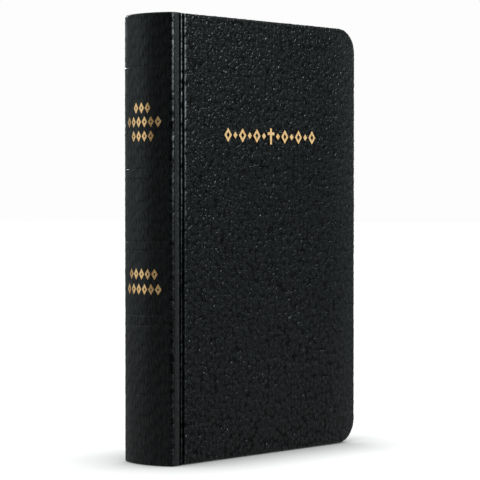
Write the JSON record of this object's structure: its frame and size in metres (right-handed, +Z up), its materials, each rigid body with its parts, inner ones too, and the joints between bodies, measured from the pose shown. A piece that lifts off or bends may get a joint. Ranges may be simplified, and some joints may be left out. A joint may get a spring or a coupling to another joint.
{
  "type": "pocket prayer book",
  "caption": "Closed pocket prayer book standing upright: rounded hollow spine, flexible leather joints, hinged boards with rounded corners and a fanning text block of sewn sections.",
  "frame": {"origin": "middle of the footprint, on the surface that the book stands on by its tail edges", "axes": "+Z up to the head, +X from the spine to the fore-edge, -Y out of the front cover"},
  "size_m": [0.0956, 0.0226, 0.146],
  "materials": {
    "cover_leather": "black pebble-grained leather, semi-matt",
    "spine_leather": "black leather, grain pressed smoother, faint blind lines",
    "gold_foil": "hot-stamped gold foil, slightly worn",
    "board": "grey-brown binder's board",
    "endpaper": "cream endpaper, uncoated",
    "pages": "thin cream bible paper",
    "mull": "open-weave starched cotton",
    "end_band": "woven band, cream with dark red stripes"
  },
  "bodies": {
    "case_spine": {"spine_leather": "spine_leather", "spine_inlay": "board", "spine_upper_ornament": "gold_foil", "spine_lower_ornament": "gold_foil"},
    "front_joint": {"front_joint_leather": "cover_leather"},
    "back_joint": {"back_joint_leather": "cover_leather"},
    "front_cover": {"front_cover_leather": "cover_leather", "front_board": "board", "front_mull_flap": "mull", "front_pastedown": "endpaper", "cover_ornament": "gold_foil"},
    "back_cover": {"back_cover_leather": "cover_leather", "back_board": "board", "back_mull_flap": "mull", "back_pastedown": "endpaper"},
    "text_middle": {"section_12": "pages", "headband": "end_band", "tailband": "end_band"},
    "leaves_01": {"section_01": "pages"},
    "leaves_02": {"section_02": "pages"},
    "leaves_03": {"section_03": "pages"},
    "leaves_04": {"section_04": "pages"},
    "leaves_05": {"section_05": "pages"},
    "leaves_06": {"section_06": "pages"},
    "leaves_07": {"section_07": "pages"},
    "leaves_08": {"section_08": "pages"},
    "leaves_09": {"section_09": "pages"},
    "leaves_10": {"section_10": "pages"},
    "leaves_11": {"section_11": "pages"},
    "leaves_13": {"section_13": "pages"},
    "leaves_14": {"section_14": "pages"},
    "leaves_15": {"section_15": "pages"},
    "leaves_16": {"section_16": "pages"},
    "leaves_17": {"section_17": "pages"},
    "leaves_18": {"section_18": "pages"},
    "leaves_19": {"section_19": "pages"},
    "leaves_20": {"section_20": "pages"},
    "leaves_21": {"section_21": "pages"},
    "leaves_22": {"section_22": "pages"},
    "leaves_23": {"section_23": "pages"},
    "front_flyleaf": {"front_flyleaf": "endpaper"},
    "back_flyleaf": {"back_flyleaf": "endpaper"}
  },
  "joints": [
    {"name": "text_throw_up", "type": "slide", "parent": "case_spine", "child": "text_middle", "axis": [1, 0, 0], "range_m": [0, 0.00521]},
    {"name": "front_joint_bend", "type": "hinge", "parent": "case_spine", "child": "front_joint", "pos_m": [-0.0445, -0.0113, 0.073], "axis": [0, 0, -1], "range_deg": [0, 45]},
    {"name": "back_joint_bend", "type": "hinge", "parent": "case_spine", "child": "back_joint", "pos_m": [-0.0445, 0.0113, 0.073], "axis": [0, 0, 1], "range_deg": [0, 45]},
    {"name": "front_cover_hinge", "type": "hinge", "parent": "front_joint", "child": "front_cover", "pos_m": [-0.0396, -0.0113, 0.073], "axis": [0, 0, -1], "range_deg": [0, 140]},
    {"name": "back_cover_hinge", "type": "hinge", "parent": "back_joint", "child": "back_cover", "pos_m": [-0.0396, 0.0113, 0.073], "axis": [0, 0, 1], "range_deg": [0, 140]},
    {"name": "book_open", "type": "hinge", "parent": "text_middle", "child": "leaves_11", "pos_m": [-0.04548, -0.00035, 0.073], "axis": [0, 0, -1], "range_deg": [0, 18]},
    {"name": "fan_13", "type": "hinge", "parent": "text_middle", "child": "leaves_13", "pos_m": [-0.04548, 0.00035, 0.073], "axis": [0, 0, 1], "range_deg": [0, 18]},
    {"name": "fan_10", "type": "hinge", "parent": "leaves_11", "child": "leaves_10", "pos_m": [-0.04543, -0.00104, 0.073], "axis": [0, 0, -1], "range_deg": [0, 2.7]},
    {"name": "fan_14", "type": "hinge", "parent": "leaves_13", "child": "leaves_14", "pos_m": [-0.04543, 0.00104, 0.073], "axis": [0, 0, 1], "range_deg": [0, 2.7]},
    {"name": "fan_09", "type": "hinge", "parent": "leaves_10", "child": "leaves_09", "pos_m": [-0.04534, -0.00174, 0.073], "axis": [0, 0, -1], "range_deg": [0, 2.7]},
    {"name": "fan_15", "type": "hinge", "parent": "leaves_14", "child": "leaves_15", "pos_m": [-0.04534, 0.00174, 0.073], "axis": [0, 0, 1], "range_deg": [0, 2.7]},
    {"name": "fan_08", "type": "hinge", "parent": "leaves_09", "child": "leaves_08", "pos_m": [-0.04522, -0.00244, 0.073], "axis": [0, 0, -1], "range_deg": [0, 2.7]},
    {"name": "fan_16", "type": "hinge", "parent": "leaves_15", "child": "leaves_16", "pos_m": [-0.04522, 0.00244, 0.073], "axis": [0, 0, 1], "range_deg": [0, 2.7]},
    {"name": "fan_07", "type": "hinge", "parent": "leaves_08", "child": "leaves_07", "pos_m": [-0.04506, -0.00313, 0.073], "axis": [0, 0, -1], "range_deg": [0, 2.7]},
    {"name": "fan_17", "type": "hinge", "parent": "leaves_16", "child": "leaves_17", "pos_m": [-0.04506, 0.00313, 0.073], "axis": [0, 0, 1], "range_deg": [0, 2.7]},
    {"name": "fan_06", "type": "hinge", "parent": "leaves_07", "child": "leaves_06", "pos_m": [-0.04487, -0.00383, 0.073], "axis": [0, 0, -1], "range_deg": [0, 2.7]},
    {"name": "fan_18", "type": "hinge", "parent": "leaves_17", "child": "leaves_18", "pos_m": [-0.04487, 0.00383, 0.073], "axis": [0, 0, 1], "range_deg": [0, 2.7]},
    {"name": "fan_05", "type": "hinge", "parent": "leaves_06", "child": "leaves_05", "pos_m": [-0.04463, -0.00452, 0.073], "axis": [0, 0, -1], "range_deg": [0, 2.7]},
    {"name": "fan_19", "type": "hinge", "parent": "leaves_18", "child": "leaves_19", "pos_m": [-0.04463, 0.00452, 0.073], "axis": [0, 0, 1], "range_deg": [0, 2.7]},
    {"name": "fan_04", "type": "hinge", "parent": "leaves_05", "child": "leaves_04", "pos_m": [-0.04435, -0.00522, 0.073], "axis": [0, 0, -1], "range_deg": [0, 2.7]},
    {"name": "fan_20", "type": "hinge", "parent": "leaves_19", "child": "leaves_20", "pos_m": [-0.04435, 0.00522, 0.073], "axis": [0, 0, 1], "range_deg": [0, 2.7]},
    {"name": "fan_03", "type": "hinge", "parent": "leaves_04", "child": "leaves_03", "pos_m": [-0.04403, -0.00591, 0.073], "axis": [0, 0, -1], "range_deg": [0, 2.7]},
    {"name": "fan_21", "type": "hinge", "parent": "leaves_20", "child": "leaves_21", "pos_m": [-0.04403, 0.00591, 0.073], "axis": [0, 0, 1], "range_deg": [0, 2.7]},
    {"name": "fan_02", "type": "hinge", "parent": "leaves_03", "child": "leaves_02", "pos_m": [-0.04366, -0.00661, 0.073], "axis": [0, 0, -1], "range_deg": [0, 2.7]},
    {"name": "fan_22", "type": "hinge", "parent": "leaves_21", "child": "leaves_22", "pos_m": [-0.04366, 0.00661, 0.073], "axis": [0, 0, 1], "range_deg": [0, 2.7]},
    {"name": "fan_01", "type": "hinge", "parent": "leaves_02", "child": "leaves_01", "pos_m": [-0.04323, -0.0073, 0.073], "axis": [0, 0, -1], "range_deg": [0, 2.7]},
    {"name": "fan_23", "type": "hinge", "parent": "leaves_22", "child": "leaves_23", "pos_m": [-0.04323, 0.0073, 0.073], "axis": [0, 0, 1], "range_deg": [0, 2.7]},
    {"name": "front_flyleaf_turn", "type": "hinge", "parent": "leaves_01", "child": "front_flyleaf", "pos_m": [-0.036, -0.00803, 0.073], "axis": [0, 0, -1], "range_deg": [0, 63]},
    {"name": "back_flyleaf_turn", "type": "hinge", "parent": "leaves_23", "child": "back_flyleaf", "pos_m": [-0.036, 0.00803, 0.073], "axis": [0, 0, 1], "range_deg": [0, 63]}
  ],
  "couplings": [
    {"joint": "text_throw_up", "follows": "book_open", "m_per_rad": 0.016552},
    {"joint": "front_joint_bend", "follows": "book_open", "ratio": 2.5},
    {"joint": "back_joint_bend", "follows": "book_open", "ratio": 2.5},
    {"joint": "fan_13", "follows": "book_open", "ratio": 1},
    {"joint": "fan_10", "follows": "book_open", "ratio": 0.15},
    {"joint": "fan_14", "follows": "book_open", "ratio": 0.15},
    {"joint": "fan_09", "follows": "book_open", "ratio": 0.15},
    {"joint": "fan_15", "follows": "book_open", "ratio": 0.15},
    {"joint": "fan_08", "follows": "book_open", "ratio": 0.15},
    {"joint": "fan_16", "follows": "book_open", "ratio": 0.15},
    {"joint": "fan_07", "follows": "book_open", "ratio": 0.15},
    {"joint": "fan_17", "follows": "book_open", "ratio": 0.15},
    {"joint": "fan_06", "follows": "book_open", "ratio": 0.15},
    {"joint": "fan_18", "follows": "book_open", "ratio": 0.15},
    {"joint": "fan_05", "follows": "book_open", "ratio": 0.15},
    {"joint": "fan_19", "follows": "book_open", "ratio": 0.15},
    {"joint": "fan_04", "follows": "book_open", "ratio": 0.15},
    {"joint": "fan_20", "follows": "book_open", "ratio": 0.15},
    {"joint": "fan_03", "follows": "book_open", "ratio": 0.15},
    {"joint": "fan_21", "follows": "book_open", "ratio": 0.15},
    {"joint": "fan_02", "follows": "book_open", "ratio": 0.15},
    {"joint": "fan_22", "follows": "book_open", "ratio": 0.15},
    {"joint": "fan_01", "follows": "book_open", "ratio": 0.15},
    {"joint": "fan_23", "follows": "book_open", "ratio": 0.15},
    {"joint": "front_flyleaf_turn", "follows": "front_cover_hinge", "ratio": 0.45},
    {"joint": "back_flyleaf_turn", "follows": "back_cover_hinge", "ratio": 0.45}
  ]
}
